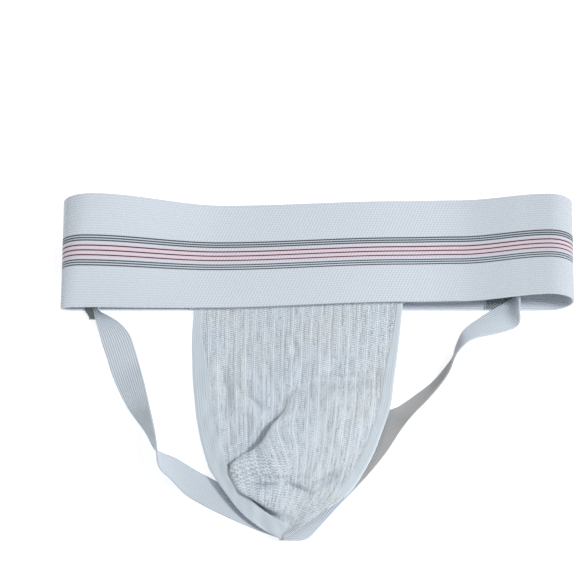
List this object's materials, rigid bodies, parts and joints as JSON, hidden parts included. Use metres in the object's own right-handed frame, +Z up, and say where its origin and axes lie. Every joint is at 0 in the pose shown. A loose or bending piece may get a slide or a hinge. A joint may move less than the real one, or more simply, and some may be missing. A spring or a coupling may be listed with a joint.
{
  "type": "groin protector",
  "caption": "Soft athletic groin supporter lying flat: wide striped elastic waistband ring, knit pouch with bound edges, and two narrow elastic leg straps that meet the pouch at its tip.",
  "frame": {"origin": "centre of the footprint, on the surface the supporter lies on", "axes": "+X across the waistband towards the end shown on the right; +Y from the pouch tip to the waistband; +Z up, out of the front of the supporter"},
  "size_m": [0.346, 0.246, 0.0307],
  "materials": {
    "band_elastic": "ribbed woven elastic",
    "pouch_knit": "eyelet rib knit",
    "binding_elastic": "flat ribbed binding",
    "strap_elastic": "narrow ribbed elastic",
    "thread": "polyester thread"
  },
  "bodies": {
    "waistband": {"waistband": "band_elastic", "waistband_lap_end": "band_elastic", "lap_stitching_left": "thread", "lap_stitching_right": "thread", "pouch_header": "pouch_knit", "pouch_seam_lower_stitching": "thread", "pouch_seam_upper_stitching": "thread", "left_strap_end_tab": "strap_elastic", "right_strap_end_tab": "strap_elastic", "left_strap_bartack": "thread", "right_strap_bartack": "thread"},
    "pouch": {"pouch_panel": "pouch_knit", "pouch_left_binding": "binding_elastic", "pouch_right_binding": "binding_elastic", "left_binding_stitching": "thread", "right_binding_stitching": "thread", "tip_overlock": "thread"},
    "left_leg_strap": {"left_leg_strap": "strap_elastic"},
    "right_leg_strap": {"right_leg_strap": "strap_elastic"}
  },
  "joints": [
    {"name": "pouch_fold", "type": "hinge", "parent": "waistband", "child": "pouch", "pos_m": [0, 0.0455, 0.0138], "axis": [-1, 0, 0], "range_deg": [0, 90]},
    {"name": "left_strap_fold", "type": "hinge", "parent": "waistband", "child": "left_leg_strap", "pos_m": [0, 0.0455, 0.0138], "axis": [-1, 0, 0], "range_deg": [0, 90]},
    {"name": "right_strap_fold", "type": "hinge", "parent": "waistband", "child": "right_leg_strap", "pos_m": [0, 0.0455, 0.0138], "axis": [-1, 0, 0], "range_deg": [0, 90]}
  ],
  "couplings": [
    {"joint": "left_strap_fold", "follows": "pouch_fold", "ratio": 1},
    {"joint": "right_strap_fold", "follows": "pouch_fold", "ratio": 1}
  ]
}
